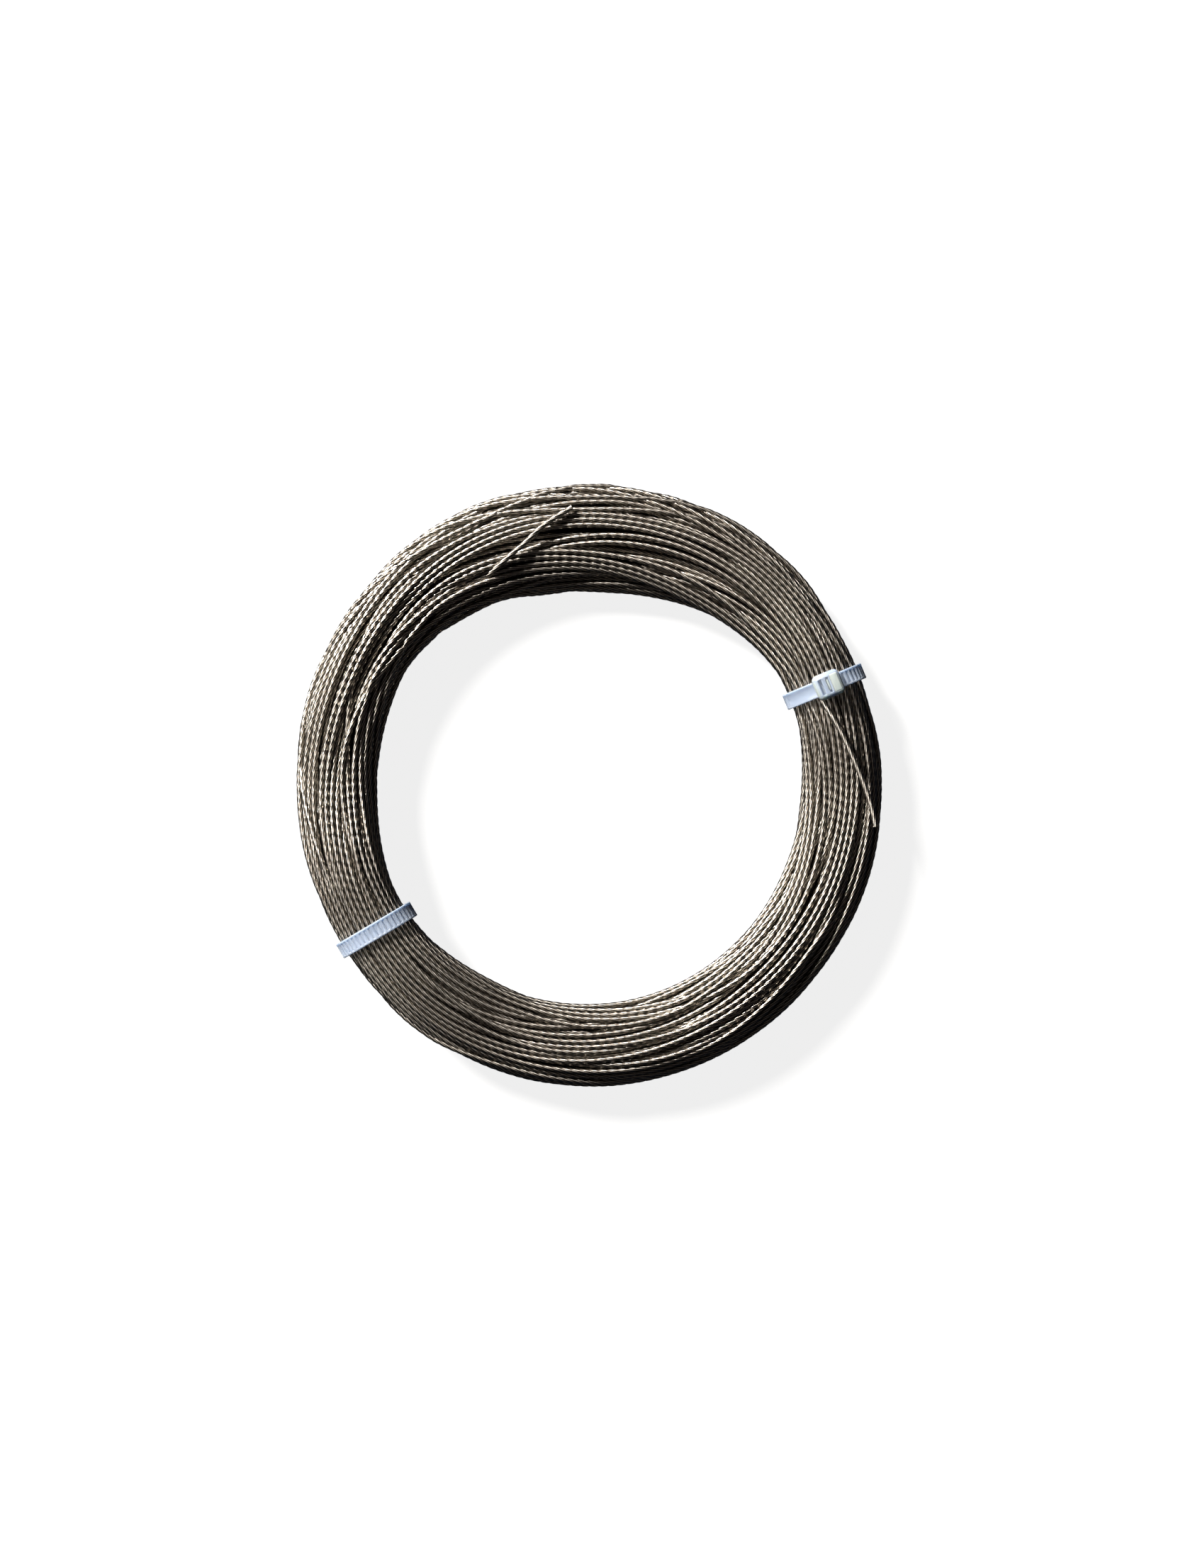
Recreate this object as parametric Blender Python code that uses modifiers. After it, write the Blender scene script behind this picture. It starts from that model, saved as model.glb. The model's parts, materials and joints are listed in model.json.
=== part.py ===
"""Coil of thin wire rope held by two nylon cable ties, in metres, +Z up, lying on the floor at z = 0.

The wound turns are one turned ring with a ridge for each turn that shows. Its section is nearly round, as
a tied bundle is, and flat where it rests. Each tie pinches the ring, and the lower tie's head lifts it.
Halfway between the ties, at +Y, the turns are loose, stand into the bore and sag. The rope's two free ends
lie over the turns.
"""

import math

import bmesh
import bpy
from mathutils import Vector

# Driving dimensions, in metres and degrees
ROPE_DIAMETER = 0.0015
COIL_OUTSIDE = 0.1686           # mean outside diameter
COIL_WIDTH = 0.0236             # across the bundle of turns, from bore to outside
COIL_HEIGHT = 0.0170            # of the round section, before its underside is flat
REST_WIDTH = 0.0090             # of the flat underside
COIL_OVAL = 0.0012              # how far the coil is longer along Y and shorter along X, each way
SLACK = 0.0078                  # how far the loose inner turns stand into the bore
SLACK_DROP = 0.12               # share of its height that the bundle loses there
SLACK_SAG = 0.0034              # how far the innermost of those turns hang lower
SLACK_ANGLE = 90
SLACK_FALL = 60
RIDGE_DEPTH = 0.0005            # of the valleys between turns
RING_STEPS = 48

TIE_UPPER_ANGLE = 22.5
TIE_LOWER_ANGLE = 214.5
GRIP_WIDTH = 0.0208             # the bundle inside a tie
GRIP_HEIGHT = 0.0160
GRIP_FLAT = 8
GRIP_FALL = 14
LIFT_FALL = 34

STRAP_WIDTH = 0.0045
STRAP_THICKNESS = 0.0012
HEAD_LENGTH = 0.0078            # along the strap
HEAD_WIDTH = 0.0072
HEAD_HEIGHT = 0.0046
HEAD_ROUND = 0.0008
SLOT_OFFSET = -0.0010           # from the head's middle, towards the strap's root
SLOT_CLEARANCE = 0.0002
STRAP_BEND = 0.0010             # inside radius of the bend from the bundle up into the slot
BEND_STEPS = 4
STRAP_STEPS = 32                # round the bundle

CLEARANCE = 0.0003              # between pieces that touch on the real coil
FLOOR_GAP = 0.0001              # under the upper tie's strap

# The rope's free ends: angle round the coil, and place across it from -1 at the bore to 1 outside
END_RIGHT = [(18.9, -0.24), (15.0, -0.10), (10.5, 0.06), (5.0, 0.24), (0.0, 0.42), (-4.5, 0.58), (-8.4, 0.70)]
END_TOP = [(122.0, -0.66), (118.0, -0.52), (113.5, -0.36), (109.8, -0.22), (105.7, -0.08), (100.8, 0.16),
           (97.0, 0.32), (93.5, 0.46)]
END_SAMPLES = 4                 # curve points in each stretch between two of those places

# Sizes that follow
HALF_WIDTH = COIL_WIDTH / 2
HALF_HEIGHT = COIL_HEIGHT / 2
COIL_RADIUS = COIL_OUTSIDE / 2 - HALF_WIDTH
SETTLED = HALF_HEIGHT * (1 - math.sqrt(1 - (REST_WIDTH / COIL_WIDTH) ** 2))
GRIP_SETTLED = SETTLED * GRIP_HEIGHT / COIL_HEIGHT
RIDGES = round(math.pi * (HALF_WIDTH + HALF_HEIGHT) / ROPE_DIAMETER)
UPPER_LIFT = CLEARANCE + STRAP_THICKNESS + FLOOR_GAP + GRIP_SETTLED
LOWER_LIFT = CLEARANCE + HEAD_HEIGHT + GRIP_SETTLED


def bell(angle, centre, flat, fall):
    """1 within flat degrees of the centre, falling smoothly to 0 over fall degrees more."""
    away = abs((angle - centre + 180) % 360 - 180)
    step = min(max((away - flat) / fall, 0), 1)
    return 1 - step * step * (3 - 2 * step)


def section(angle):
    """The bundle's middle radius, width and height as shares of the full ones, underside and looseness."""
    grip = max(bell(angle, tie, GRIP_FLAT, GRIP_FALL) for tie in (TIE_UPPER_ANGLE, TIE_LOWER_ANGLE))
    loose = bell(angle, SLACK_ANGLE, 0, SLACK_FALL)
    radius = COIL_RADIUS - COIL_OVAL * math.cos(2 * math.radians(angle))
    wide = 1 - grip * (1 - GRIP_WIDTH / COIL_WIDTH)
    high = 1 - grip * (1 - GRIP_HEIGHT / COIL_HEIGHT) - loose * SLACK_DROP
    under = UPPER_LIFT * bell(angle, TIE_UPPER_ANGLE, GRIP_FLAT, GRIP_FALL)
    under += LOWER_LIFT * bell(angle, TIE_LOWER_ANGLE, GRIP_FLAT, LIFT_FALL)
    return radius, wide, high, under, loose


def on_coil(angle, across, height):
    """A point of the even section, moved to where the bundle is at this angle."""
    radius, wide, high, under, loose = section(angle)
    inward = (HALF_WIDTH - across) / COIL_WIDTH
    out = radius + across * wide - SLACK * loose * inward
    up = under + height * high - SLACK_SAG * loose * inward * inward
    turn = math.radians(angle)
    return Vector((out * math.cos(turn), out * math.sin(turn), max(up, 0)))


def round_section(turn, half_width, half_height, off):
    """A point off a round section's edge by that distance, as (across, height from its middle)."""
    out, up = math.cos(turn), math.sin(turn)
    steep = math.hypot(half_height * out, half_width * up)
    return out * (half_width + off * half_height / steep), up * (half_height + off * half_width / steep)


def collection(name):
    made = bpy.data.collections.new(name)
    bpy.context.scene.collection.children.link(made)
    return made


def material(name, colour, metallic, roughness):
    made = bpy.data.materials.new(name)
    made.use_nodes = True
    shader = made.node_tree.nodes["Principled BSDF"]
    shader.inputs["Base Color"].default_value = (*colour, 1)
    shader.inputs["Metallic"].default_value = metallic
    shader.inputs["Roughness"].default_value = roughness
    return made


def add_object(name, data, folder, look=None):
    made = bpy.data.objects.new(name, data)
    folder.objects.link(made)
    if look:
        made.data.materials.append(look)
    return made


def to_mesh(thing):
    """Apply the modifiers, or turn the curve into a mesh."""
    for other in bpy.context.selected_objects:
        other.select_set(False)
    thing.select_set(True)
    bpy.context.view_layer.objects.active = thing
    bpy.ops.object.convert(target="MESH")
    return thing


def ring_profile():
    """The even section as points (across, height), with a ridge for each turn: down its outer side first."""
    points = []
    for i in range(2 * RIDGES):
        off = -RIDGE_DEPTH if i % 2 else 0
        across, up = round_section(-math.pi * i / RIDGES, HALF_WIDTH, HALF_HEIGHT, off)
        points.append((across, max(up + HALF_HEIGHT - SETTLED, 0)))
    return points


def make_coil(folder):
    shape = bmesh.new()
    corners = [shape.verts.new((COIL_RADIUS + across, 0, height)) for across, height in ring_profile()]
    for i, corner in enumerate(corners):
        shape.edges.new((corner, corners[(i + 1) % len(corners)]))
    data = bpy.data.meshes.new("wire_rope_coil")
    shape.to_mesh(data)
    shape.free()
    coil = add_object("wire_rope_coil", data, folder, material("wire_rope", (0.14, 0.12, 0.1), 0.9, 0.35))
    screw = coil.modifiers.new("turned", "SCREW")
    screw.axis = "Z"
    screw.angle = 2 * math.pi
    screw.steps = RING_STEPS
    screw.render_steps = RING_STEPS
    screw.use_merge_vertices = True
    screw.merge_threshold = 0.00001
    to_mesh(coil)
    for corner in coil.data.vertices:
        angle = math.degrees(math.atan2(corner.co.y, corner.co.x))
        corner.co = on_coil(angle, math.hypot(corner.co.x, corner.co.y) - COIL_RADIUS, corner.co.z)
    return coil


def strap_path():
    """The strap's middle line round the gripped bundle, from its root in the head to its cut end.

    Points are (across, height) from the bundle's middle. The head is on top."""
    off = CLEARANCE + STRAP_THICKNESS / 2
    bend = STRAP_BEND + STRAP_THICKNESS / 2
    root = math.pi / 2 + math.asin((HEAD_LENGTH / 2 - HEAD_ROUND) / (GRIP_WIDTH / 2 + off))
    end = 2.5 * math.pi - math.asin((SLOT_OFFSET + bend) / (GRIP_WIDTH / 2 + off))
    points = []
    for i in range(STRAP_STEPS + 1):
        turn = root + (end - root) * i / STRAP_STEPS
        points.append(round_section(turn, GRIP_WIDTH / 2, GRIP_HEIGHT / 2, off))
    top = points[-1][1]
    for i in range(1, BEND_STEPS + 1):
        turn = -math.pi / 2 - math.pi / 2 * i / BEND_STEPS
        points.append((SLOT_OFFSET + bend + bend * math.cos(turn), top + bend + bend * math.sin(turn)))
    points.append((SLOT_OFFSET, GRIP_HEIGHT / 2 + CLEARANCE + HEAD_HEIGHT))
    return points


def make_strap(folder):
    shape = bmesh.new()
    line = [shape.verts.new((across, -STRAP_WIDTH / 2, height)) for across, height in strap_path()]
    edges = [shape.edges.new(pair) for pair in zip(line, line[1:])]
    wide = bmesh.ops.extrude_edge_only(shape, edges=edges)
    moved = [part for part in wide["geom"] if isinstance(part, bmesh.types.BMVert)]
    bmesh.ops.translate(shape, verts=moved, vec=(0, STRAP_WIDTH, 0))
    bmesh.ops.recalc_face_normals(shape, faces=shape.faces)
    data = bpy.data.meshes.new("strap")
    shape.to_mesh(data)
    shape.free()
    strap = add_object("strap", data, folder)
    thick = strap.modifiers.new("thickness", "SOLIDIFY")
    thick.thickness = STRAP_THICKNESS
    thick.offset = 0
    thick.use_even_offset = True
    return to_mesh(strap)


def block(name, size, middle, folder, rounded=0.0):
    """A box as its own object, with all of its edges rounded where a radius is given."""
    shape = bmesh.new()
    bmesh.ops.create_cube(shape, size=1)
    bmesh.ops.scale(shape, vec=size, verts=shape.verts)
    bmesh.ops.translate(shape, vec=middle, verts=shape.verts)
    data = bpy.data.meshes.new(name)
    shape.to_mesh(data)
    shape.free()
    made = add_object(name, data, folder)
    if rounded:
        edge = made.modifiers.new("round", "BEVEL")
        edge.width = rounded
        edge.segments = 3
        to_mesh(made)
    return made


def combine(body, tool, operation):
    """Join the tool to the body, or cut it out, and take the tool away."""
    cut = body.modifiers.new(tool.name, "BOOLEAN")
    cut.operation = operation
    cut.solver = "EXACT"
    cut.object = tool
    tool.hide_render = True
    tool.display_type = "WIRE"
    to_mesh(body)
    bpy.data.objects.remove(tool)


def make_tie(name, angle, head_up, folder, look):
    """One moulded tie: its head with a slot and a way in under its wall, and the strap that fills them."""
    seat = GRIP_HEIGHT / 2 + CLEARANCE
    way_in = STRAP_THICKNESS + SLOT_CLEARANCE
    head = block(name, (HEAD_LENGTH, HEAD_WIDTH, HEAD_HEIGHT), (0, 0, seat + HEAD_HEIGHT / 2), folder, HEAD_ROUND)
    head.data.materials.append(look)
    slot_size = (STRAP_THICKNESS + 2 * SLOT_CLEARANCE, STRAP_WIDTH + 2 * SLOT_CLEARANCE, 3 * HEAD_HEIGHT)
    combine(head, block("slot", slot_size, (SLOT_OFFSET, 0, seat + HEAD_HEIGHT / 2), folder), "DIFFERENCE")
    start = SLOT_OFFSET - STRAP_THICKNESS / 2 - SLOT_CLEARANCE
    length = HEAD_LENGTH - start
    channel_size = (length, slot_size[1], 2 * (way_in + STRAP_BEND))
    channel = block("channel", channel_size, (start + length / 2, 0, seat), folder)
    combine(head, channel, "DIFFERENCE")
    combine(head, make_strap(folder), "UNION")
    radius, _, _, under, _ = section(angle)
    turn = math.radians(angle)
    middle = under - GRIP_SETTLED + GRIP_HEIGHT / 2
    head.location = (radius * math.cos(turn), radius * math.sin(turn), middle)
    head.rotation_euler = (0, 0 if head_up else math.pi, turn)
    return head


def smooth_line(places):
    """Points of a Catmull-Rom curve through the places."""
    ends = [2 * places[0] - places[1], *places, 2 * places[-1] - places[-2]]
    line = []
    for i in range(len(places) - 1):
        before, start, stop, after = ends[i:i + 4]
        for j in range(END_SAMPLES):
            t = j / END_SAMPLES
            bend = (2 * before - 5 * start + 4 * stop - after) * t * t
            twist = (3 * start - before - 3 * stop + after) * t * t * t
            line.append((2 * start + (stop - before) * t + bend + twist) / 2)
    return line + [places[-1]]


def make_rope_end(name, places, folder):
    """A free end of the rope, lying over the turns."""
    off = CLEARANCE + ROPE_DIAMETER / 2
    over = []
    for angle, share in places:
        across, up = round_section(math.acos(share), HALF_WIDTH, HALF_HEIGHT, off)
        over.append(on_coil(angle, across, up + HALF_HEIGHT - SETTLED))
    line = smooth_line(over)
    data = bpy.data.curves.new(name, "CURVE")
    data.dimensions = "3D"
    spline = data.splines.new("POLY")
    spline.points.add(len(line) - 1)
    for point, place in zip(spline.points, line):
        point.co = (*place, 1)
    data.bevel_depth = ROPE_DIAMETER / 2
    data.bevel_resolution = 2
    data.use_fill_caps = True
    rope = add_object(name, data, folder, material(name, (0.2, 0.18, 0.16), 0.9, 0.35))
    return to_mesh(rope)


for thing in list(bpy.data.objects):
    bpy.data.objects.remove(thing)
parts = collection("coil_of_wire_rope")
nylon = material("natural_nylon", (0.7, 0.72, 0.74), 0, 0.4)
make_coil(parts)
make_rope_end("rope_end_right", END_RIGHT, parts)
make_rope_end("rope_end_top", END_TOP, parts)
make_tie("cable_tie_upper", TIE_UPPER_ANGLE, True, parts, nylon)
make_tie("cable_tie_lower", TIE_LOWER_ANGLE, False, parts, nylon)
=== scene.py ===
"""Coil of thin stainless wire rope in two nylon ties: the looks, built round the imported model."""

import json
import math

import bmesh
import bpy
import numpy as np
from mathutils import Matrix, Vector

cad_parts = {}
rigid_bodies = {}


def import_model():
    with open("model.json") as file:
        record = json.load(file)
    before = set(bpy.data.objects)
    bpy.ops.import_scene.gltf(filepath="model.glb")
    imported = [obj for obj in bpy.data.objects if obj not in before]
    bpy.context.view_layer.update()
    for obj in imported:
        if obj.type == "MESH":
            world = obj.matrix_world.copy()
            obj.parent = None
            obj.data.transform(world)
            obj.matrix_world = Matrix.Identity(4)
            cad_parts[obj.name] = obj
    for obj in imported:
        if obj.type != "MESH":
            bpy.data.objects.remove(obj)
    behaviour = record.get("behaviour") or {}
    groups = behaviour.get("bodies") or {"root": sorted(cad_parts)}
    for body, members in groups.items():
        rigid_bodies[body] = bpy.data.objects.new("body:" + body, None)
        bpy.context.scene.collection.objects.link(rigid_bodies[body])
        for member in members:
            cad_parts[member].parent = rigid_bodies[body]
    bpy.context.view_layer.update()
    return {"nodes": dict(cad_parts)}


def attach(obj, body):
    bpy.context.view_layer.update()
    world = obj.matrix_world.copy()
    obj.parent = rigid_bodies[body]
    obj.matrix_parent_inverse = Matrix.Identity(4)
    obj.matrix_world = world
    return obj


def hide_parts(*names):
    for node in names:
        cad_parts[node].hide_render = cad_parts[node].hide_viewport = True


for thing in list(bpy.data.objects):
    bpy.data.objects.remove(thing)
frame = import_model()


# Wound turns. The coil is one 1.5 mm rope of six strands, wound by hand into a bundle. A close layer, a
# looser one in sheaves over it and a few strays are drawn. They are pushed apart but kept smooth, so some
# still cut a little into each other where they cross.
rope_diameter = 0.0015
places = 180
samples = 504
steps = 48
close_turns = 29
loose_turns = 30
stray_turns = 5
turns = close_turns + loose_turns + stray_turns
step_angles = np.arange(steps) * 2 * math.pi / steps
ring = np.array([v.co for v in frame["nodes"]["wire_rope_coil"].data.vertices])
ring_radius = np.hypot(ring[:, 0], ring[:, 1])
step_of = np.round(np.arctan2(ring[:, 1], ring[:, 0]) / (2 * math.pi) * steps).astype(int) % steps
edges = np.empty((steps, 5))
for i in range(steps):
    out, up = ring_radius[step_of == i], ring[step_of == i, 2]
    inner, outer = out.min(), out.max()
    hang = up[out > outer - 1e-5].mean() - up[out < inner + 1e-5].mean()
    level = up + hang * ((outer - out) / (outer - inner))**2
    edges[i] = inner, outer, up.min(), level.max(), hang


def section_at(angle):
    """The bundle's middle radius, middle height, half width, half height and sag at any angle round it."""
    there = [np.interp(angle, step_angles, edge, period=2 * math.pi) for edge in edges.T]
    inner, outer, under, over, hang = there
    return (inner + outer) / 2, (under + over) / 2, (outer - inner) / 2, (over - under) / 2, hang


def sag(across, half_width, hang):
    """How far the bundle hangs lower there, where its loose turns stand into the bore."""
    return hang * ((half_width - across) / (2 * half_width))**2


tie_angles = (22.5, 214.5)
start_angle = math.radians(tie_angles[0])
far_tie = math.radians(tie_angles[1] - tie_angles[0])
round_coil = np.arange(places) * 2 * math.pi / places
middle, centre, half_width, half_height, hang = section_at(start_angle + round_coil)
rng = np.random.default_rng(11)


def wander(knots, strength):
    """Smooth wandering along the whole rope, as one row for each turn."""
    values = rng.normal(0, strength, turns * knots + 3)
    at = np.arange(turns * places) * knots / places
    base = at.astype(int)
    t = at - base
    a, b, c, d = (values[base + i] for i in range(4))
    smooth = 2 * b + (c - a) * t + (2 * a - 5 * b + 4 * c - d) * t**2 + (3 * b - a - 3 * c + d) * t**3
    return (smooth / 2).reshape(turns, places)


turn_number = np.arange(turns)[:, None] + round_coil / (2 * math.pi)
close_part = turn_number < close_turns
stray_part = turn_number >= close_turns + loose_turns
share = np.where(close_part, turn_number / close_turns,
                 np.where(stray_part, (turn_number - close_turns - loose_turns) / stray_turns,
                          (turn_number - close_turns) / loose_turns))
slot = 2 * math.pi * share
past_far_tie = (round_coil - far_tie) / (2 * math.pi - far_tie)
span = np.where(round_coil < far_tie, round_coil / far_tie, past_far_tie)
freedom = 0.15 + 0.85 * np.sin(math.pi * span)**2
swing = 0.46 * np.sin(2 * round_coil + 2 * slot + 0.4) + 0.26 * np.sin(3 * round_coil - slot + 2.1)
swing *= freedom
sheaf = freedom * (0.23 * np.sin(5 * slot + 2 * round_coil) + 0.15 * np.sin(4 * slot - 4 * round_coil + 1))
stray_swing = 0.7 * freedom * np.sin(2 * round_coil + 1.1 * slot)
where = slot + np.where(close_part, -swing * 0.8, np.where(stray_part, stray_swing, swing + sheaf))
where += freedom * (wander(4, 0.10) + np.where(stray_part, wander(3, 0.15), 0))
close_depth = 0.0022
loose_depth = 0.00095
stray_depth = 0.00075
depth = np.where(close_part, close_depth, np.where(stray_part, stray_depth, loose_depth))
depth += freedom * wander(4, 0.0004)
across = (half_width - depth) * np.cos(where)
height = (half_height - depth) * np.sin(where) - sag(across, half_width, hang)

spacing = rope_diameter * 1.01
hidden_depth = 0.0035
room = (half_width - rope_diameter / 2, half_height - rope_diameter / 2)
core = (half_width - hidden_depth + rope_diameter / 2, half_height - hidden_depth + rope_diameter / 2)
rounds = 240
for i in range(rounds):
    for rope in (across.ravel(), height.ravel()):
        for reach in (1, 2, 4):
            near = rope[reach:-3 * reach] + rope[3 * reach:-reach]
            eased = (4 * near - rope[:-4 * reach] - rope[4 * reach:]) / 6
            rope[2 * reach:-2 * reach] += 0.5 * (eased - rope[2 * reach:-2 * reach])
    gap_across = across[:, None] - across[None]
    gap_height = height[:, None] - height[None]
    gap = np.sqrt(gap_across**2 + gap_height**2) + 1e-9
    push = np.clip(spacing - gap, 0, None) / gap * (0.42 - 0.2 * i / rounds)
    across += (push * gap_across).sum(1)
    height += (push * gap_height).sum(1)
    level = height + sag(across, half_width, hang)
    past = np.maximum(np.hypot(across / room[0], level / room[1]), 1)
    within = np.minimum(np.hypot(across / core[0], level / core[1]), 1)
    across /= past * within
    height = np.maximum(level / (past * within) - sag(across, half_width, hang), -room[1])


def finer(rows_of_places):
    """A smooth line through the places of all the turns, with samples points for each turn."""
    rope = rows_of_places.ravel()
    rope = np.concatenate([[2 * rope[0] - rope[1]], rope, [2 * rope[-1] - rope[-2]] * 2])
    at = np.arange(turns * samples + 1) * places / samples
    base = np.minimum(at.astype(int), turns * places - 1)
    t = at - base
    a, b, c, d = (rope[base + i] for i in range(4))
    return (2 * b + (c - a) * t + (2 * a - 5 * b + 4 * c - d) * t**2 + (3 * b - a - 3 * c + d) * t**3) / 2


line_radius = finer(middle + across)
line_angle = start_angle + np.arange(turns * samples + 1) * 2 * math.pi / samples
line_height = finer(centre + height)
line = np.stack([line_radius * np.cos(line_angle), line_radius * np.sin(line_angle), line_height], axis=1)
along = np.concatenate([[0], np.cumsum(np.linalg.norm(np.diff(line, axis=0), axis=1))])

lay_length = 0.0157
wire_spacing = 0.0007
strands = 6
points_round = 2 * strands
crown = rope_diameter / 2
valley = crown * 0.66
strand_ring = bpy.data.curves.new("strand_ring", "CURVE")
strand_ring.dimensions = "3D"
outline = strand_ring.splines.new("POLY")
outline.points.add(points_round - 1)
for i, point in enumerate(outline.points):
    turn = 2 * math.pi * i / points_round
    reach = crown if i % 2 == 0 else valley
    point.co = (reach * math.cos(turn), reach * math.sin(turn), 0, 1)
outline.use_cyclic_u = True
strand_shape = bpy.data.objects.new("strand_ring", strand_ring)
bpy.context.scene.collection.objects.link(strand_shape)


def add_piece(name, data, material):
    """A new piece at the origin, in its material."""
    made = bpy.data.objects.new(name, data)
    bpy.context.scene.collection.objects.link(made)
    data.materials.append(material)
    return made


def rope_piece(name, points, lengths, material):
    """A stretch of the rope along the points: six strands laid right-handed round each other."""
    data = bpy.data.curves.new(name, "CURVE")
    data.dimensions = "3D"
    data.twist_mode = "Z_UP"
    data.bevel_mode = "OBJECT"
    data.bevel_object = strand_shape
    data.use_fill_caps = True
    spline = data.splines.new("POLY")
    spline.points.add(len(points) - 1)
    spline.points.foreach_set("co", np.c_[points, np.ones(len(points))].ravel())
    spline.points.foreach_set("tilt", 2 * math.pi * lengths / lay_length)
    made = add_piece(name, data, material)
    for other in bpy.context.selected_objects:
        other.select_set(False)
    made.select_set(True)
    bpy.context.view_layer.objects.active = made
    bpy.ops.object.convert(target="MESH")
    mesh = made.data
    mesh.polygons.foreach_set("use_smooth", [True] * len(mesh.polygons))
    index = np.arange(len(mesh.vertices))
    station = np.minimum(index // points_round, len(points) - 1)
    groove = mesh.attributes.new("groove", "FLOAT", "POINT")
    groove.data.foreach_set("value", (index % 2).astype(float))
    pairs = np.empty(2 * len(mesh.edges), dtype=int)
    mesh.edges.foreach_get("vertices", pairs)
    between_strands = (pairs.reshape(-1, 2) % 2 == 1).all(axis=1)
    crease = mesh.attributes.new("sharp_edge", "BOOLEAN", "EDGE")
    crease.data.foreach_set("value", between_strands)
    corner_vertex = np.empty(len(mesh.loops), dtype=int)
    mesh.loops.foreach_get("vertex_index", corner_vertex)
    first = np.empty(len(mesh.polygons), dtype=int)
    mesh.polygons.foreach_get("loop_start", first)
    count = np.empty(len(mesh.polygons), dtype=int)
    mesh.polygons.foreach_get("loop_total", count)
    four = first[count == 4][:, None] + np.arange(4)
    round_rope = corner_vertex % points_round
    seam = round_rope[four]
    seam[(seam.max(axis=1) == points_round - 1)[:, None] & (seam == 0)] = points_round
    round_rope[four] = seam
    lay_map = mesh.uv_layers.new(name="lay")
    corner_length = lengths[station][corner_vertex]
    lay_map.data.foreach_set("uv", np.stack([round_rope / points_round, corner_length], 1).ravel())
    return made


wire = bpy.data.materials.new("stainless_wire")
wire.use_nodes = True
nodes = wire.node_tree.nodes
links = wire.node_tree.links
shader = nodes["Principled BSDF"]
groove_mask = nodes.new("ShaderNodeAttribute")
groove_mask.attribute_name = "groove"
lay_place = nodes.new("ShaderNodeUVMap")
lay_place.uv_map = "lay"
lay_parts = nodes.new("ShaderNodeSeparateXYZ")
links.new(lay_place.outputs["UV"], lay_parts.inputs["Vector"])
tarnish = nodes.new("ShaderNodeTexNoise")
tarnish.noise_dimensions = "1D"
tarnish.inputs["Scale"].default_value = 9
tarnish.inputs["Detail"].default_value = 3
links.new(lay_parts.outputs["Y"], tarnish.inputs["W"])
crown_colour = nodes.new("ShaderNodeMix")
crown_colour.data_type = "RGBA"
crown_colour.inputs["A"].default_value = (0.53, 0.48, 0.42, 1)
crown_colour.inputs["B"].default_value = (0.74, 0.69, 0.62, 1)
links.new(tarnish.outputs["Fac"], crown_colour.inputs["Factor"])
# The grooves between the strands, as a mask for painted shade in the base colour and for higher roughness.
groove_shade_mask = nodes.new("ShaderNodeMapRange")
groove_shade_mask.inputs["From Min"].default_value = 0.25
groove_shade_mask.inputs["From Max"].default_value = 0.95
groove_shade_mask.interpolation_type = "SMOOTHSTEP"
links.new(groove_mask.outputs["Fac"], groove_shade_mask.inputs["Value"])
# Painted shade: a near-black base colour in the grooves between the strands, standing for the shade that
# falls in them.
colour = nodes.new("ShaderNodeMix")
colour.data_type = "RGBA"
colour.inputs["B"].default_value = (0.05, 0.039, 0.029, 1)
links.new(groove_shade_mask.outputs["Result"], colour.inputs["Factor"])
links.new(crown_colour.outputs["Result"], colour.inputs["A"])
links.new(colour.outputs["Result"], shader.inputs["Base Color"])
shader.inputs["Metallic"].default_value = 1
roughness = nodes.new("ShaderNodeMapRange")
roughness.inputs["To Min"].default_value = 0.35
roughness.inputs["To Max"].default_value = 0.46
links.new(groove_shade_mask.outputs["Result"], roughness.inputs["Value"])
scuffed = nodes.new("ShaderNodeAttribute")
scuffed.attribute_name = "scuffed"
scuffed_roughness = nodes.new("ShaderNodeMath")
scuffed_roughness.operation = "MULTIPLY_ADD"
scuffed_roughness.inputs[1].default_value = 0.15
links.new(scuffed.outputs["Fac"], scuffed_roughness.inputs[0])
links.new(roughness.outputs["Result"], scuffed_roughness.inputs[2])
links.new(scuffed_roughness.outputs["Value"], shader.inputs["Roughness"])
wires_round = nodes.new("ShaderNodeMath")
wires_round.operation = "MULTIPLY"
wires_round.inputs[1].default_value = 3 * strands
links.new(lay_parts.outputs["X"], wires_round.inputs[0])
wire_phase = nodes.new("ShaderNodeMath")
wire_phase.operation = "MULTIPLY_ADD"
wire_phase.inputs[1].default_value = -1 / wire_spacing
links.new(lay_parts.outputs["Y"], wire_phase.inputs[0])
links.new(wires_round.outputs["Value"], wire_phase.inputs[2])
half_waves = nodes.new("ShaderNodeMath")
half_waves.operation = "MULTIPLY"
half_waves.inputs[1].default_value = math.pi
links.new(wire_phase.outputs["Value"], half_waves.inputs[0])
wave = nodes.new("ShaderNodeMath")
wave.operation = "SINE"
links.new(half_waves.outputs["Value"], wave.inputs[0])
wire_crest = nodes.new("ShaderNodeMath")
wire_crest.operation = "ABSOLUTE"
links.new(wave.outputs["Value"], wire_crest.inputs[0])
around_rope = nodes.new("ShaderNodeTangent")
around_rope.direction_type = "UV_MAP"
around_rope.uv_map = "lay"
links.new(around_rope.outputs["Tangent"], shader.inputs["Tangent"])
shader.inputs["Anisotropic"].default_value = 0.75
shader.inputs["Anisotropic Rotation"].default_value = 0.25
wires = nodes.new("ShaderNodeBump")
wires.inputs["Strength"].default_value = 0.07
wires.inputs["Distance"].default_value = 0.00006
links.new(wire_crest.outputs["Value"], wires.inputs["Height"])
links.new(wires.outputs["Normal"], shader.inputs["Normal"])

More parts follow.
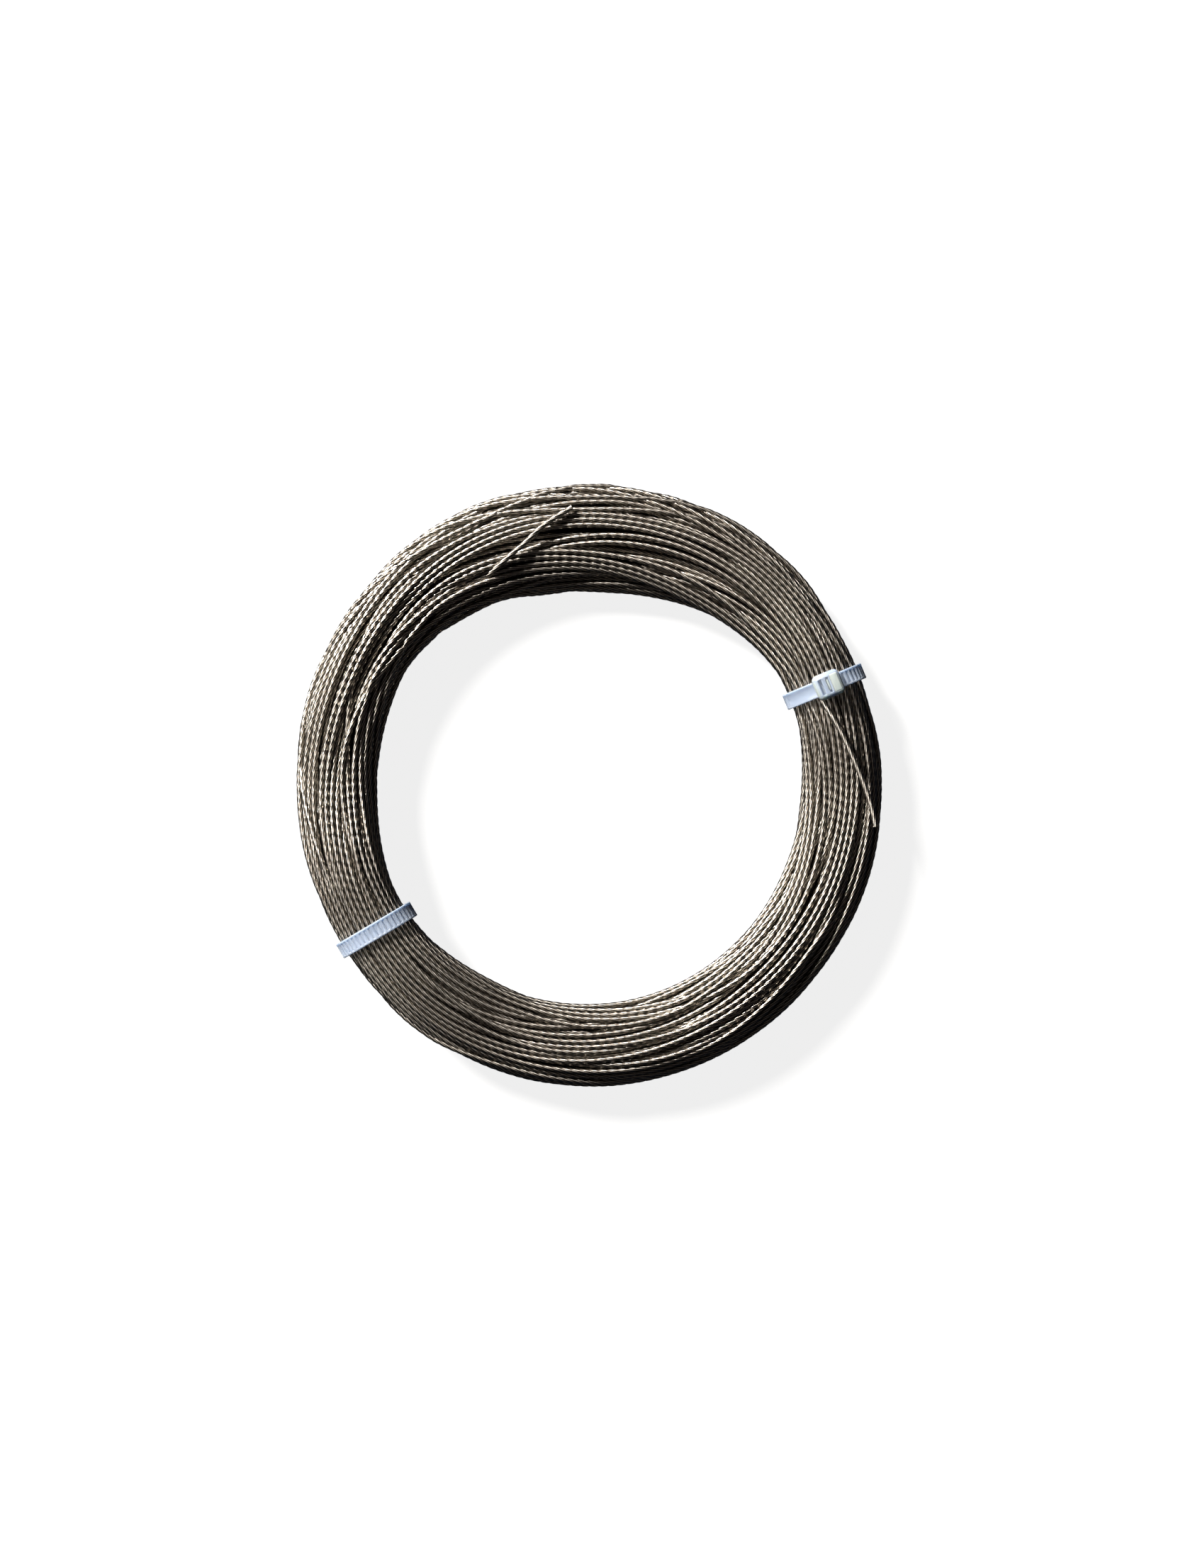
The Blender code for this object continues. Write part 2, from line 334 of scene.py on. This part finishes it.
bunches = 5
ends = [round(i * turns / bunches) * samples for i in range(bunches + 1)]
for i in range(bunches):
    part = slice(ends[i], ends[i + 1] + 1)
    bunch = rope_piece(f"rope_turns_{i + 1}", line[part], along[part], wire)
    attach(bunch, "root")
    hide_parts("wire_rope_coil")


# Packed middle of the bundle. Some fifty more turns lie inside, out of sight but for the dark gaps between
# the turns that show. They are one plain ring, like the imported model's but smaller all round. Its
# near-black colour is painted shade, standing for the shade deep between the turns, not the steel's own
# colour.
inside = bmesh.new()
inside.from_mesh(frame["nodes"]["wire_rope_coil"].data)
bmesh.ops.remove_doubles(inside, verts=inside.verts, dist=1e-6)
for vertex in inside.verts:
    turn = math.atan2(vertex.co.y, vertex.co.x)
    radius_there, height_there, wide, high, hang_there = (float(value) for value in section_at(turn))
    across_there = math.hypot(vertex.co.x, vertex.co.y) - radius_there
    level = vertex.co.z - height_there + sag(across_there, wide, hang_there)
    across_there *= 1 - hidden_depth / wide
    out = radius_there + across_there
    up = height_there + level * (1 - hidden_depth / high) - sag(across_there, wide, hang_there)
    vertex.co = (out * math.cos(turn), out * math.sin(turn), up)
inside_mesh = bpy.data.meshes.new("rope_turns_inside")
inside.to_mesh(inside_mesh)
inside.free()
dark = bpy.data.materials.new("packed_wire_painted_shade")
dark.use_nodes = True
nodes = dark.node_tree.nodes
links = dark.node_tree.links
place = nodes.new("ShaderNodeTexCoord")
patches = nodes.new("ShaderNodeTexNoise")
patches.inputs["Scale"].default_value = 600
links.new(place.outputs["Object"], patches.inputs["Vector"])
# Painted shade: the inner turns are the same steel, given a near-black colour to stand for the shade between
# the turns.
packed_shade_colour = nodes.new("ShaderNodeMix")
packed_shade_colour.data_type = "RGBA"
packed_shade_colour.inputs["A"].default_value = (0.012, 0.010, 0.008, 1)
packed_shade_colour.inputs["B"].default_value = (0.035, 0.029, 0.024, 1)
links.new(patches.outputs["Fac"], packed_shade_colour.inputs["Factor"])
links.new(packed_shade_colour.outputs["Result"], nodes["Principled BSDF"].inputs["Base Color"])
nodes["Principled BSDF"].inputs["Metallic"].default_value = 0.8
nodes["Principled BSDF"].inputs["Roughness"].default_value = 0.55
inside_turns = add_piece("rope_turns_inside", inside_mesh, dark)
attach(inside_turns, "root")
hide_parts("wire_rope_coil")


# Free ends. Both ends of the rope come out of the bundle and lie over its turns, cut square and bare. One
# leaves from under the upper tie's head, the other from between the turns at the upper left.
clearance = 0.0003
end_samples = 24


def free_end(name, replaced, route, start_twist):
    """A free end along places given as angle round the coil, share across it and depth under its surface."""
    over = []
    for angle, share_across, sunk in route:
        radius_there, height_there, wide, high, hang_there = (
            float(value) for value in section_at(math.radians(angle)))
        turn = math.acos(share_across)
        steep = math.hypot(high * math.cos(turn), wide * math.sin(turn))
        off = clearance + rope_diameter / 2 - sunk
        across_there = math.cos(turn) * (wide + off * high / steep)
        out = radius_there + across_there
        up = height_there + math.sin(turn) * (high + off * wide / steep)
        up -= sag(across_there, wide, hang_there)
        over.append(Vector((out * math.cos(math.radians(angle)), out * math.sin(math.radians(angle)), up)))
    over = [2 * over[0] - over[1], *over, 2 * over[-1] - over[-2]]
    points = []
    for i in range(len(over) - 3):
        a, b, c, d = over[i:i + 4]
        for j in range(end_samples):
            t = j / end_samples
            bend = (2 * a - 5 * b + 4 * c - d) * t**2 + (3 * b - a - 3 * c + d) * t**3
            points.append((2 * b + (c - a) * t + bend) / 2)
    points.append(over[-2])
    points = np.array(points)
    pieces = np.linalg.norm(np.diff(points, axis=0), axis=1)
    lengths = start_twist + np.concatenate([[0], np.cumsum(pieces)])
    end = rope_piece(name, points, lengths, wire)
    scuff = end.data.attributes.new("scuffed", "FLOAT", "POINT")
    scuff.data.foreach_set("value", np.ones(len(end.data.vertices)))
    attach(end, "root")
    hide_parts(replaced)


free_end("free_end_right", "rope_end_right",
         [(20.4, -0.30, 0.0018), (18.9, -0.25, 0.0008), (15.0, -0.12, 0), (10.5, 0.03, -0.0003),
          (5.0, 0.20, -0.0008), (0.0, 0.37, -0.0013), (-4.5, 0.52, -0.0019), (-8.4, 0.63, -0.0025)], 0.002)
free_end("free_end_top", "rope_end_top",
         [(121.5, -0.62, 0.0038), (118.0, -0.52, 0.0032), (114.6, -0.40, 0.0016), (111.6, -0.29, 0.0002),
          (108.0, -0.16, -0.0003), (105.0, -0.05, -0.0003), (100.8, 0.16, -0.0002), (97.0, 0.32, -0.0002),
          (93.5, 0.46, -0.0002)], 0.007)
bpy.data.objects.remove(strand_shape)


# Nylon ties. Each is one moulding of milky natural nylon: a head with a slot, and a strap with a ladder of
# teeth between two rails, pulled tight round the turns and cut off flush at the head. The upper tie's head
# is on top. The lower one is turned over, so that only its toothed strap shows from above.
strap_width = 0.0045
strap_thickness = 0.0012
rail_width = 0.00055
tooth_pitch = 0.00144
tooth_depth = 0.00028
tooth_rise = 0.55
tooth_drop = 0.2
root_dip = 0.35
smooth_root = 0.0095
strap_step = tooth_pitch / 6
grip_width = 0.0208
grip_height = 0.0160
head_length = 0.0078
head_width = 0.0072
head_height = 0.0046
head_round = 0.0015
slot_offset = -0.0010
strap_bend = 0.0016
stub_below_top = 0.0004
edge_round = 0.00018
mouth_depth = 0.0012

nylon = bpy.data.materials.new("milky_nylon")
nylon.use_nodes = True
nodes = nylon.node_tree.nodes
links = nylon.node_tree.links
shader = nodes["Principled BSDF"]
place = nodes.new("ShaderNodeTexCoord")
clouds = nodes.new("ShaderNodeTexNoise")
clouds.inputs["Scale"].default_value = 150
clouds.inputs["Detail"].default_value = 2
links.new(place.outputs["Object"], clouds.inputs["Vector"])
milk = nodes.new("ShaderNodeMix")
milk.data_type = "RGBA"
milk.inputs["A"].default_value = (0.255, 0.305, 0.39, 1)
milk.inputs["B"].default_value = (0.31, 0.36, 0.45, 1)
links.new(clouds.outputs["Fac"], milk.inputs["Factor"])
thickness = nodes.new("ShaderNodeAttribute")
thickness.attribute_name = "thickness"
whole_milk = nodes.new("ShaderNodeMix")
whole_milk.data_type = "RGBA"
whole_milk.inputs["B"].default_value = (0.37, 0.42, 0.41, 1)
links.new(thickness.outputs["Fac"], whole_milk.inputs["Factor"])
links.new(milk.outputs["Result"], whole_milk.inputs["A"])
links.new(whole_milk.outputs["Result"], shader.inputs["Base Color"])
ray = nodes.new("ShaderNodeLightPath")
let_through = nodes.new("ShaderNodeMapRange")
let_through.inputs["To Min"].default_value = 1
let_through.inputs["To Max"].default_value = 0.45
links.new(ray.outputs["Is Shadow Ray"], let_through.inputs["Value"])
links.new(let_through.outputs["Result"], shader.inputs["Alpha"])
nylon_gloss = nodes.new("ShaderNodeMapRange")
nylon_gloss.inputs["To Min"].default_value = 0.3
nylon_gloss.inputs["To Max"].default_value = 0.5
links.new(clouds.outputs["Fac"], nylon_gloss.inputs["Value"])
links.new(nylon_gloss.outputs["Result"], shader.inputs["Roughness"])
grain = nodes.new("ShaderNodeBump")
grain.inputs["Strength"].default_value = 0.05
grain.inputs["Distance"].default_value = 0.0002
links.new(clouds.outputs["Fac"], grain.inputs["Height"])
links.new(grain.outputs["Normal"], shader.inputs["Normal"])
shader.inputs["IOR"].default_value = 1.53
shader.inputs["Subsurface Weight"].default_value = 0.85
shader.inputs["Subsurface Radius"].default_value = (0.8, 0.9, 1.0)
shader.inputs["Subsurface Scale"].default_value = 0.0026


def strap_route():
    """Places of the strap's middle line as (across, height) from the bundle's middle, root first."""
    off = clearance + strap_thickness / 2
    bend = strap_bend
    wide = grip_width / 2
    high = grip_height / 2
    root = math.pi / 2 + math.asin((head_length / 2 - head_round) / (wide + off))
    end = 2.5 * math.pi - math.asin((slot_offset + bend) / (wide + off))
    turn = np.linspace(root, end, 721)
    steep = np.hypot(high * np.cos(turn), wide * np.sin(turn))
    along_turns = np.cos(turn) * (wide + off * high / steep)
    up_turns = np.sin(turn) * (high + off * wide / steep)
    bend_turn = -math.pi / 2 - np.linspace(0.05, 1, 24) * math.pi / 2
    along_bend = along_turns[-1] + bend * np.cos(bend_turn)
    up_bend = up_turns[-1] + bend + bend * np.sin(bend_turn)
    top = high + clearance + head_height - stub_below_top
    along_route = np.concatenate([along_turns, along_bend, along_bend[-1:]])
    return np.stack([along_route, np.concatenate([up_turns, up_bend, [top]])], 1)


def add_strap(shape):
    """The strap, swept from a rail-and-web section, with a tooth at each pitch past its smooth root."""
    route = strap_route()
    lengths = np.concatenate([[0], np.cumsum(np.linalg.norm(np.diff(route, axis=0), axis=1))])
    count = round(lengths[-1] / strap_step)
    at = np.linspace(0, lengths[-1], count + 1)
    path = np.stack([np.interp(at, lengths, route[:, i]) for i in range(2)], 1)
    ahead = np.gradient(path, axis=0)
    ahead /= np.linalg.norm(ahead, axis=1)[:, None]
    outward = np.stack([ahead[:, 1], -ahead[:, 0]], 1)
    half = strap_width / 2
    skin = strap_thickness / 2
    corner = edge_round
    section = [(-half + corner, -skin, 0), (half - corner, -skin, 0), (half, -skin + corner, 0),
               (half, skin - corner, 0), (half - corner, skin, 0), (half - rail_width, skin, 0),
               (half - rail_width - corner, skin, 1), (-half + rail_width + corner, skin, 1),
               (-half + rail_width, skin, 0), (-half + corner, skin, 0), (-half, skin - corner, 0),
               (-half, -skin + corner, 0), (-half + corner, -skin, 0)]
    made = bmesh.ops.create_grid(shape, x_segments=count, y_segments=len(section) - 1, size=1)["verts"]
    for vertex in made:
        i = round((vertex.co.x + 1) / 2 * count)
        side, off, web = section[round((vertex.co.y + 1) / 2 * (len(section) - 1))]
        phase = at[i] / tooth_pitch % 1
        dip = tooth_depth * (1 - min(phase / tooth_rise, 1, (1 - phase) / tooth_drop))
        toothed = min(max((at[i] - smooth_root) / tooth_pitch, 0), 1)
        off -= web * (toothed * dip + (1 - toothed) * tooth_depth * root_dip)
        spot = path[i] + outward[i] * off
        vertex.co = (spot[0], side, spot[1])
    bmesh.ops.remove_doubles(shape, verts=made, dist=1e-6)
    open_edges = [edge for edge in shape.edges if edge.is_boundary]
    bmesh.ops.holes_fill(shape, edges=open_edges)


def add_block(shape, low, high, rounded, segments):
    """A box between two corners with all of its edges rounded."""
    made = bmesh.ops.create_cube(shape, size=1)["verts"]
    size = [high[i] - low[i] for i in range(3)]
    bmesh.ops.scale(shape, vec=size, verts=made)
    bmesh.ops.translate(shape, vec=[(high[i] + low[i]) / 2 for i in range(3)], verts=made)
    sides = list({edge for vertex in made for edge in vertex.link_edges})
    bmesh.ops.bevel(shape, geom=sides, offset=rounded, segments=segments, profile=0.5, affect="EDGES",
                    material=-1)


def add_head(shape):
    """The head: a rounded block with a deep mouth for the strap, its locking tongue and a raised pad."""
    seat = grip_height / 2 + clearance
    top = seat + head_height
    pad = 0.0003
    body = bmesh.new()
    add_block(body, (-head_length / 2, -head_width / 2, seat), (head_length / 2, head_width / 2, top - pad),
              head_round, 4)
    mouth = (-0.0032, 0.0003, -0.0022, 0.0022)
    for cut, normal in (((mouth[0], 0, 0), (1, 0, 0)), ((mouth[1], 0, 0), (1, 0, 0)),
                        ((0, mouth[2], 0), (0, 1, 0)), ((0, mouth[3], 0), (0, 1, 0))):
        geom = body.verts[:] + body.edges[:] + body.faces[:]
        bmesh.ops.bisect_plane(body, geom=geom, plane_co=cut, plane_no=normal)
    lid = []
    for face in body.faces:
        spot = face.calc_center_median()
        flat = face.normal.z > 0.9 and spot.z > top - pad - 1e-5
        if flat and mouth[0] < spot.x < mouth[1] and mouth[2] < spot.y < mouth[3]:
            lid.append(face)
    sunk = bmesh.ops.extrude_face_region(body, geom=lid)["geom"]
    bmesh.ops.delete(body, geom=lid, context="FACES_ONLY")
    sunk_vertices = [part for part in sunk if isinstance(part, bmesh.types.BMVert)]
    bmesh.ops.translate(body, vec=(0, 0, -mouth_depth), verts=sunk_vertices)
    rim = [edge for edge in body.edges
           if all(abs(v.co.z - top + pad) < 1e-6 and mouth[0] - 1e-6 < v.co.x < mouth[1] + 1e-6
                  and mouth[2] - 1e-6 < v.co.y < mouth[3] + 1e-6 for v in edge.verts)]
    bmesh.ops.bevel(body, geom=rim, offset=0.0005, segments=4, profile=0.5, affect="EDGES", material=-1)
    bmesh.ops.recalc_face_normals(body, faces=body.faces)
    loose = bpy.data.meshes.new("head")
    body.to_mesh(loose)
    body.free()
    shape.from_mesh(loose)
    bpy.data.meshes.remove(loose)
    add_block(shape, (0.0008, -0.0026, top - 3 * pad), (0.0031, 0.0026, top), 0.0004, 4)
    add_block(shape, (-0.0003, -0.0015, top - 0.0028), (0.0002, 0.0015, top - 0.0007), 0.00012, 2)


def add_tie(name, replaced, angle, turned_over, askew):
    """One tie in its place round the gripped turns."""
    shape = bmesh.new()
    thick = shape.verts.layers.float.new("thickness")
    add_strap(shape)
    thin_vertices = len(shape.verts)
    add_head(shape)
    shape.verts.ensure_lookup_table()
    for vertex in shape.verts[thin_vertices:]:
        vertex[thick] = 1
    bmesh.ops.recalc_face_normals(shape, faces=shape.faces)
    turn = math.radians(angle)
    radius_there = float(section_at(turn)[0])
    over = float(np.interp(turn, step_angles, edges[:, 3], period=2 * math.pi))
    middle_height = over - grip_height / 2
    spot = Matrix.Translation((radius_there * math.cos(turn), radius_there * math.sin(turn), middle_height))
    facing = Matrix.Rotation(turn + math.radians(askew), 4, "Z")
    if turned_over:
        facing = facing @ Matrix.Rotation(math.pi, 4, "Y")
    bmesh.ops.transform(shape, matrix=spot @ facing, verts=shape.verts)
    data = bpy.data.meshes.new(name)
    shape.to_mesh(data)
    shape.free()
    data.polygons.foreach_set("use_smooth", [True] * len(data.polygons))
    data.set_sharp_from_angle(angle=math.radians(38))
    tie = add_piece(name, data, nylon)
    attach(tie, "root")
    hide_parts(replaced)


add_tie("tie_upper", "cable_tie_upper", tie_angles[0], False, 0)
add_tie("tie_lower", "cable_tie_lower", tie_angles[1], True, -4)


# Floor, light and camera. The coil lies on white paper under a high sun-like key from the upper left, as in
# the photograph, with a dim sky that is darker and bluer towards the horizon, before a pale backdrop.
floor_shape = bmesh.new()
bmesh.ops.create_grid(floor_shape, x_segments=1, y_segments=1, size=1.5)
floor_mesh = bpy.data.meshes.new("floor")
floor_shape.to_mesh(floor_mesh)
floor_shape.free()
paper = bpy.data.materials.new("white_paper")
paper.use_nodes = True
paper_shader = paper.node_tree.nodes["Principled BSDF"]
paper_shader.inputs["Base Color"].default_value = (0.15, 0.15, 0.15, 1)
paper_shader.inputs["Roughness"].default_value = 0.9
paper_shader.inputs["Emission Color"].default_value = (1, 1, 1, 1)
paper_shader.inputs["Emission Strength"].default_value = 0.85
floor = add_piece("floor", floor_mesh, paper)
floor.visible_glossy = False
floor.visible_diffuse = False

key_azimuth = math.radians(136)
key_height = math.radians(32)
towards_key = Vector((math.cos(key_azimuth) * math.cos(key_height),
                      math.sin(key_azimuth) * math.cos(key_height),
                      math.sin(key_height)))
key_light = bpy.data.lights.new("key", "SUN")
key_light.energy = 11.2
key_light.angle = math.radians(12)
key_light.color = (1, 0.97, 0.93)
key = bpy.data.objects.new("key", key_light)
key.rotation_euler = towards_key.to_track_quat("Z", "Y").to_euler()
bpy.context.scene.collection.objects.link(key)

world = bpy.data.worlds.new("studio")
world.use_nodes = True
nodes = world.node_tree.nodes
links = world.node_tree.links
sky_place = nodes.new("ShaderNodeTexCoord")
sky_height = nodes.new("ShaderNodeSeparateXYZ")
sky_share = nodes.new("ShaderNodeMapRange")
sky_share.inputs["From Min"].default_value = 0.0
sky_share.inputs["From Max"].default_value = 0.8
sky_colour = nodes.new("ShaderNodeMix")
sky_colour.data_type = "RGBA"
sky_colour.inputs["A"].default_value = (0.007, 0.010, 0.017, 1)
sky_colour.inputs["B"].default_value = (0.041, 0.037, 0.034, 1)
links.new(sky_place.outputs["Generated"], sky_height.inputs["Vector"])
links.new(sky_height.outputs["Z"], sky_share.inputs["Value"])
links.new(sky_share.outputs["Result"], sky_colour.inputs["Factor"])
seen = nodes.new("ShaderNodeLightPath")
backdrop = nodes.new("ShaderNodeMix")
backdrop.data_type = "RGBA"
backdrop.inputs["B"].default_value = (0.90, 0.90, 0.90, 1)
links.new(seen.outputs["Is Camera Ray"], backdrop.inputs["Factor"])
links.new(sky_colour.outputs["Result"], backdrop.inputs["A"])
links.new(backdrop.outputs["Result"], nodes["Background"].inputs["Color"])
bpy.context.scene.world = world
bpy.context.scene.view_settings.view_transform = "Standard"

frame_height = 0.4424
camera_data = bpy.data.cameras.new("camera")
camera_data.lens = 50
camera_data.sensor_width = 36
camera = bpy.data.objects.new("camera", camera_data)
camera.location = (0, 0, 0.008 + camera_data.lens / camera_data.sensor_width * frame_height)
bpy.context.scene.collection.objects.link(camera)
bpy.context.scene.camera = camera
